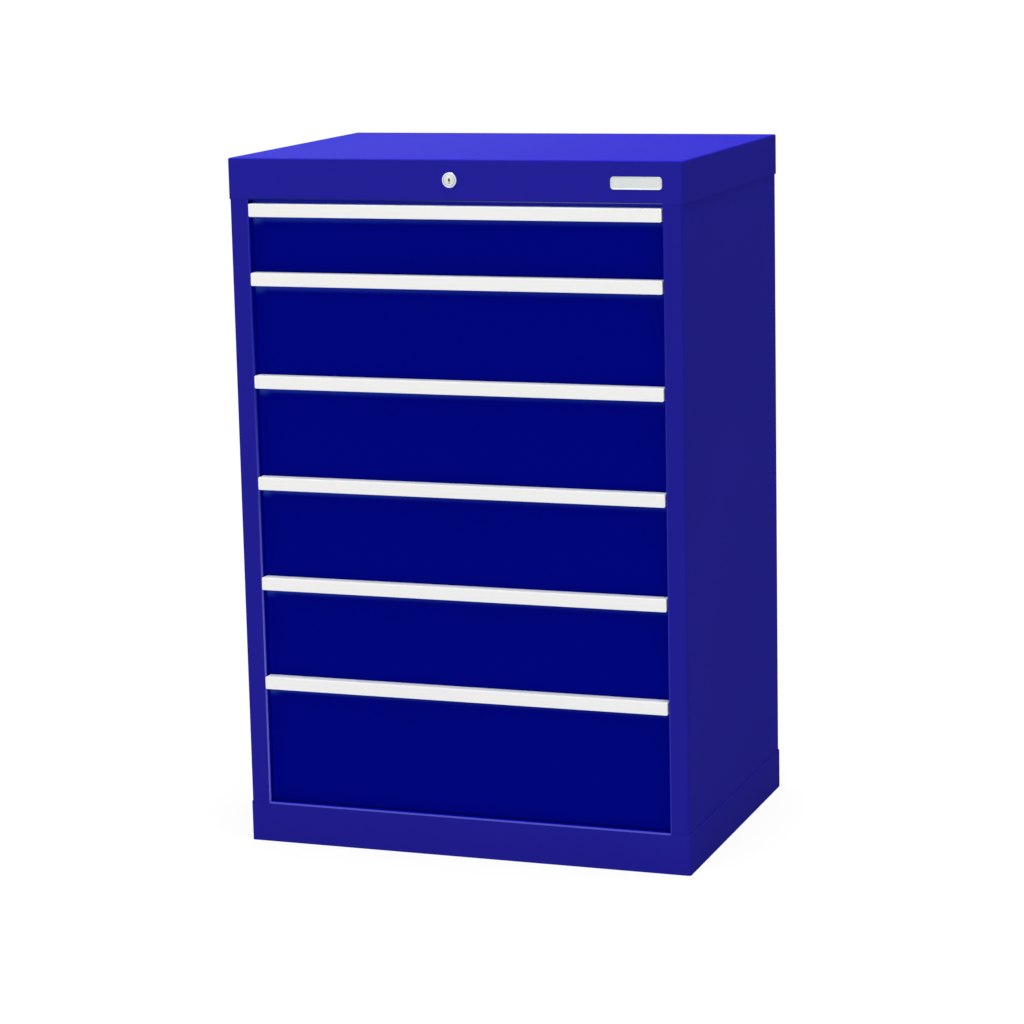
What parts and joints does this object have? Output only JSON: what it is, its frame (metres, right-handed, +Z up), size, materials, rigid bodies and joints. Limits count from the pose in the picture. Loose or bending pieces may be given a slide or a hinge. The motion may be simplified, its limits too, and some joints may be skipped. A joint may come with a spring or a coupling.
{
  "type": "drawer cabinet",
  "caption": "Free-standing sheet-steel workshop cabinet with full-width grip strips on its drawers, telescopic slides and a central lock in the top rail.",
  "frame": {"origin": "on the floor, under the middle of the overall box", "axes": "X right seen from the front, Y from the drawer fronts to the back panel, Z up"},
  "size_m": [0.684, 0.496, 1.019],
  "materials": {
    "casing_blue": "smooth satin powder coat",
    "drawer_blue": "smooth satin powder coat",
    "grip_grey": "light grey powder coat on an extruded strip",
    "cap_grey": "moulded, matt",
    "tray_grey": "light grey powder coat",
    "zinc_steel": "zinc plated, dull",
    "lock_metal": "satin nickel plate",
    "plate_silver": "satin"
  },
  "bodies": {
    "cabinet": {"side_panel_left": "casing_blue", "side_panel_right": "casing_blue", "top_cover": "casing_blue", "base_plinth": "casing_blue", "back_panel": "casing_blue", "back_rivets": "casing_blue", "uprights": "zinc_steel", "fixed_rails_left": "zinc_steel", "fixed_rails_right": "zinc_steel", "bar_guides": "zinc_steel", "name_plate": "plate_silver", "lock_housing": "lock_metal", "lock_nut": "zinc_steel"},
    "lock": {"lock_plug": "lock_metal", "lock_cam": "zinc_steel"},
    "draw_bar": {"draw_bar": "zinc_steel"},
    "locking_bar": {"locking_bar": "zinc_steel", "locking_hooks": "zinc_steel"},
    "drawer_1": {"drawer_1_tray": "tray_grey", "drawer_1_front": "drawer_blue", "drawer_1_grip": "grip_grey", "drawer_1_end_caps": "cap_grey", "drawer_1_rails": "zinc_steel", "drawer_1_slot_strips": "tray_grey"},
    "drawer_1_middle": {"drawer_1_middle_rails": "zinc_steel"},
    "drawer_2": {"drawer_2_tray": "tray_grey", "drawer_2_front": "drawer_blue", "drawer_2_grip": "grip_grey", "drawer_2_end_caps": "cap_grey", "drawer_2_rails": "zinc_steel", "drawer_2_slot_strips": "tray_grey"},
    "drawer_2_middle": {"drawer_2_middle_rails": "zinc_steel"},
    "drawer_3": {"drawer_3_tray": "tray_grey", "drawer_3_front": "drawer_blue", "drawer_3_grip": "grip_grey", "drawer_3_end_caps": "cap_grey", "drawer_3_rails": "zinc_steel", "drawer_3_slot_strips": "tray_grey"},
    "drawer_3_middle": {"drawer_3_middle_rails": "zinc_steel"},
    "drawer_4": {"drawer_4_tray": "tray_grey", "drawer_4_front": "drawer_blue", "drawer_4_grip": "grip_grey", "drawer_4_end_caps": "cap_grey", "drawer_4_rails": "zinc_steel", "drawer_4_slot_strips": "tray_grey"},
    "drawer_4_middle": {"drawer_4_middle_rails": "zinc_steel"},
    "drawer_5": {"drawer_5_tray": "tray_grey", "drawer_5_front": "drawer_blue", "drawer_5_grip": "grip_grey", "drawer_5_end_caps": "cap_grey", "drawer_5_rails": "zinc_steel", "drawer_5_slot_strips": "tray_grey"},
    "drawer_5_middle": {"drawer_5_middle_rails": "zinc_steel"},
    "drawer_6": {"drawer_6_tray": "tray_grey", "drawer_6_front": "drawer_blue", "drawer_6_grip": "grip_grey", "drawer_6_end_caps": "cap_grey", "drawer_6_rails": "zinc_steel", "drawer_6_slot_strips": "tray_grey"},
    "drawer_6_middle": {"drawer_6_middle_rails": "zinc_steel"}
  },
  "joints": [
    {"name": "lock_turn", "type": "hinge", "parent": "cabinet", "child": "lock", "pos_m": [0, -0.235, 0.99], "axis": [0, 1, 0], "range_deg": [0, 90]},
    {"name": "draw_bar_slide", "type": "slide", "parent": "cabinet", "child": "draw_bar", "axis": [1, 0, 0], "range_m": [0, 0.0143]},
    {"name": "locking_bar_lift", "type": "slide", "parent": "cabinet", "child": "locking_bar", "axis": [0, 0, 1], "range_m": [0, 0.01414]},
    {"name": "drawer_1_slide", "type": "slide", "parent": "cabinet", "child": "drawer_1", "axis": [0, -1, 0], "range_m": [0, 0.42]},
    {"name": "drawer_1_middle_slide", "type": "slide", "parent": "cabinet", "child": "drawer_1_middle", "axis": [0, -1, 0], "range_m": [0, 0.21]},
    {"name": "drawer_2_slide", "type": "slide", "parent": "cabinet", "child": "drawer_2", "axis": [0, -1, 0], "range_m": [0, 0.42]},
    {"name": "drawer_2_middle_slide", "type": "slide", "parent": "cabinet", "child": "drawer_2_middle", "axis": [0, -1, 0], "range_m": [0, 0.21]},
    {"name": "drawer_3_slide", "type": "slide", "parent": "cabinet", "child": "drawer_3", "axis": [0, -1, 0], "range_m": [0, 0.42]},
    {"name": "drawer_3_middle_slide", "type": "slide", "parent": "cabinet", "child": "drawer_3_middle", "axis": [0, -1, 0], "range_m": [0, 0.21]},
    {"name": "drawer_4_slide", "type": "slide", "parent": "cabinet", "child": "drawer_4", "axis": [0, -1, 0], "range_m": [0, 0.42]},
    {"name": "drawer_4_middle_slide", "type": "slide", "parent": "cabinet", "child": "drawer_4_middle", "axis": [0, -1, 0], "range_m": [0, 0.21]},
    {"name": "drawer_5_slide", "type": "slide", "parent": "cabinet", "child": "drawer_5", "axis": [0, -1, 0], "range_m": [0, 0.42]},
    {"name": "drawer_5_middle_slide", "type": "slide", "parent": "cabinet", "child": "drawer_5_middle", "axis": [0, -1, 0], "range_m": [0, 0.21]},
    {"name": "drawer_6_slide", "type": "slide", "parent": "cabinet", "child": "drawer_6", "axis": [0, -1, 0], "range_m": [0, 0.42]},
    {"name": "drawer_6_middle_slide", "type": "slide", "parent": "cabinet", "child": "drawer_6_middle", "axis": [0, -1, 0], "range_m": [0, 0.21]}
  ],
  "couplings": [
    {"joint": "draw_bar_slide", "follows": "locking_bar_lift", "ratio": 1},
    {"joint": "lock_turn", "follows": "locking_bar_lift", "rad_per_m": 111.07},
    {"joint": "drawer_1_middle_slide", "follows": "drawer_1_slide", "ratio": 0.5},
    {"joint": "drawer_2_middle_slide", "follows": "drawer_2_slide", "ratio": 0.5},
    {"joint": "drawer_3_middle_slide", "follows": "drawer_3_slide", "ratio": 0.5},
    {"joint": "drawer_4_middle_slide", "follows": "drawer_4_slide", "ratio": 0.5},
    {"joint": "drawer_5_middle_slide", "follows": "drawer_5_slide", "ratio": 0.5},
    {"joint": "drawer_6_middle_slide", "follows": "drawer_6_slide", "ratio": 0.5}
  ]
}
